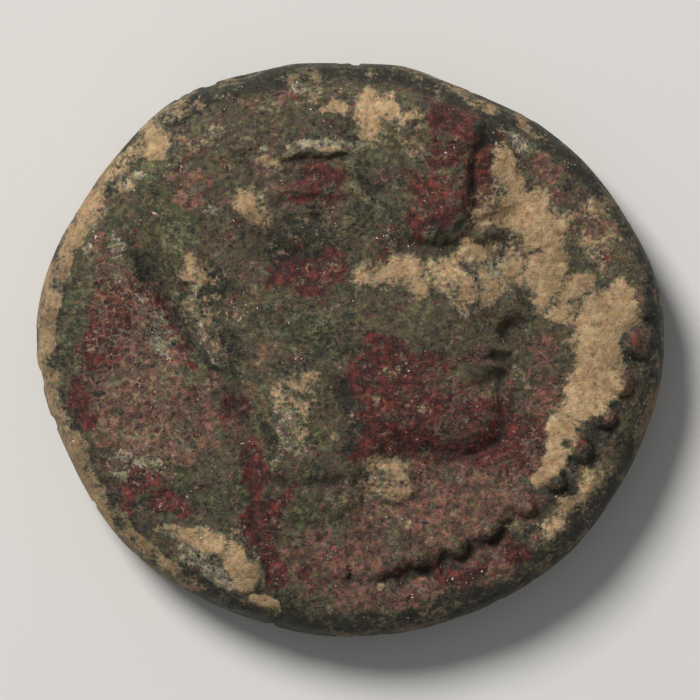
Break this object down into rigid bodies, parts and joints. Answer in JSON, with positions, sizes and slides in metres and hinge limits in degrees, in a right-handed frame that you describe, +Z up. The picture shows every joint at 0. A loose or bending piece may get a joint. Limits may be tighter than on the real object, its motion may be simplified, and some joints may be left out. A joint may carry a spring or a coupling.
{
  "type": "ancient bronze coin",
  "caption": "Thick worn bronze coin with a rounded edge: veiled head in high relief and part of a beaded border on one side, a plain wreath on the other.",
  "frame": {"origin": "under the middle of the coin, on the plane of the worn reverse rim that it rests on", "axes": "+X along the coin's longest width, towards the way the head faces; +Y towards the top of the head; +Z up, out of the side with the head"},
  "size_m": [0.022, 0.02, 0.0043],
  "materials": {
    "bronze_patina": "worn bronze under a mottled green, red-brown and sandy patina"
  },
  "bodies": {
    "root": {"coin": "bronze_patina"}
  },
  "joints": []
}
